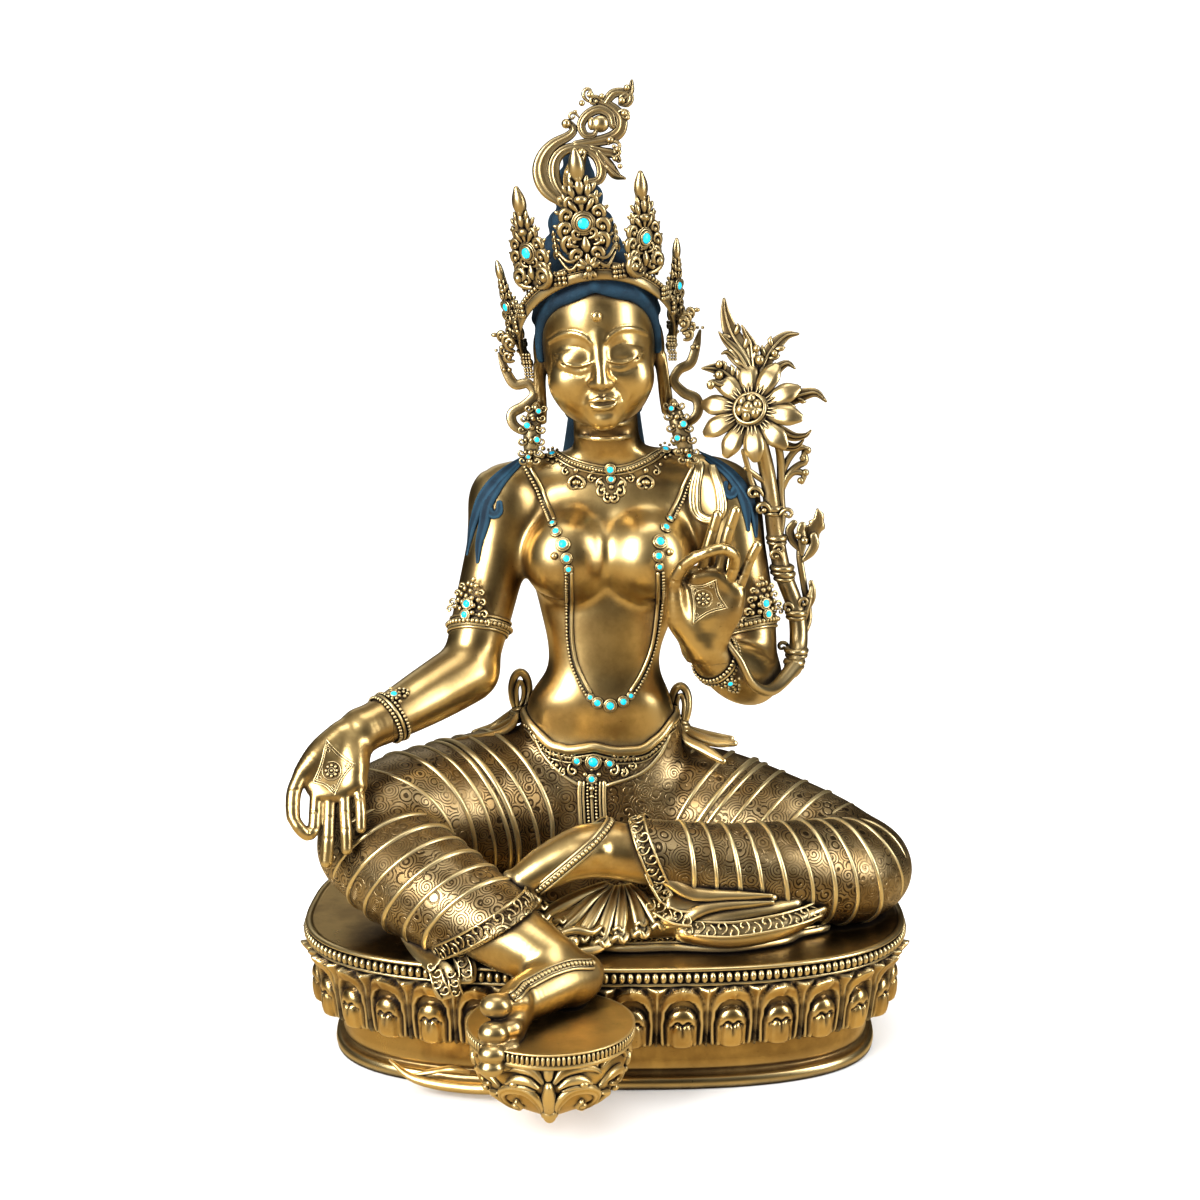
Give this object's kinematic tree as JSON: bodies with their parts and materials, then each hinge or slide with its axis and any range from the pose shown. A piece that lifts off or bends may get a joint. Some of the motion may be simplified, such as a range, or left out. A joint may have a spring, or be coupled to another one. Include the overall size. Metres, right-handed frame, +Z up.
{
  "type": "seated tara figure",
  "caption": "Crowned goddess seated at ease with one foot on a small lotus, right hand giving, left hand raised beside a lotus spray, on an oval lotus base.",
  "frame": {"origin": "centre of the base's underside", "axes": "+Z up, -Y the way the figure faces, +X towards the figure's left"},
  "size_m": [0.387, 0.3423, 0.5944],
  "materials": {
    "gilt": "burnished gilding, worn and darkened in the recesses",
    "aged_gilt": "gilding with dark patina in the chasing",
    "turquoise": "polished stone"
  },
  "bodies": {
    "root": {"lotus_base": "gilt", "footrest": "aged_gilt", "figure": "gilt", "crown": "aged_gilt", "topknot_scroll": "gilt", "earring_right": "aged_gilt", "earring_left": "aged_gilt", "lotus_spray": "aged_gilt", "crown_stone_centre": "turquoise", "crown_stone_side_right": "turquoise", "crown_stone_side_left": "turquoise", "crown_stone_far_right": "turquoise", "crown_stone_far_left": "turquoise", "belt_stone": "turquoise"}
  },
  "joints": []
}
